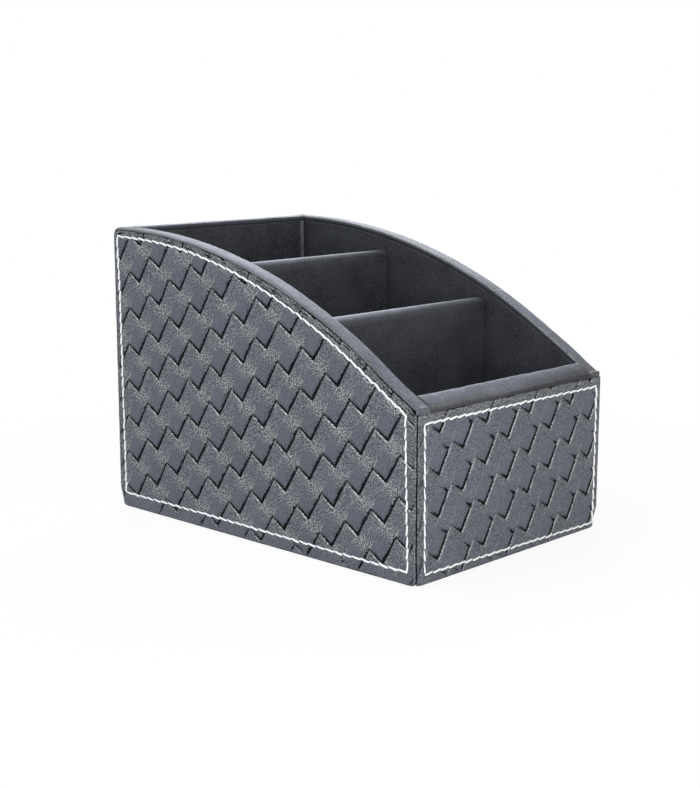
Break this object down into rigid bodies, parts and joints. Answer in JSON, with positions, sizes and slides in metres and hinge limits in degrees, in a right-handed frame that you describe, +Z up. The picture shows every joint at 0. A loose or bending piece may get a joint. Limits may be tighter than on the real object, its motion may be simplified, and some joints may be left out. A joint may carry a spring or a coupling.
{
  "type": "remote control holder",
  "caption": "Desk caddy with arched sides, upright compartments, embossed plaited-weave outer panels with stitched borders, a rolled rim and a smooth dark lining.",
  "frame": {"origin": "centre of the footprint, on the surface that it stands on", "axes": "+Z up, +Y from the low front towards the tall back, +X to the right when seen from the front"},
  "size_m": [0.1208, 0.1808, 0.1282],
  "materials": {
    "skin": "embossed weave, semi-matt charcoal",
    "rim": "smooth, satin charcoal",
    "thread": "white polyester thread",
    "lining": "smooth leatherette, matt black",
    "board": "raw fibre board",
    "cloth": "matt black"
  },
  "bodies": {
    "root": {"base_cloth": "cloth", "base_board": "board", "left_board": "board", "right_board": "board", "front_board": "board", "back_board": "board", "rear_divider_board": "board", "front_divider_board": "board", "left_skin": "skin", "right_skin": "skin", "front_skin": "skin", "back_skin": "skin", "left_stitching": "thread", "right_stitching": "thread", "front_stitching": "thread", "back_stitching": "thread", "left_rim": "rim", "right_rim": "rim", "front_rim": "rim", "back_rim": "rim", "left_lining": "lining", "right_lining": "lining", "front_lining": "lining", "back_lining": "lining", "rear_divider_cover": "lining", "front_divider_cover": "lining", "rear_floor_lining": "lining", "middle_floor_lining": "lining", "front_floor_lining": "lining"}
  },
  "joints": []
}
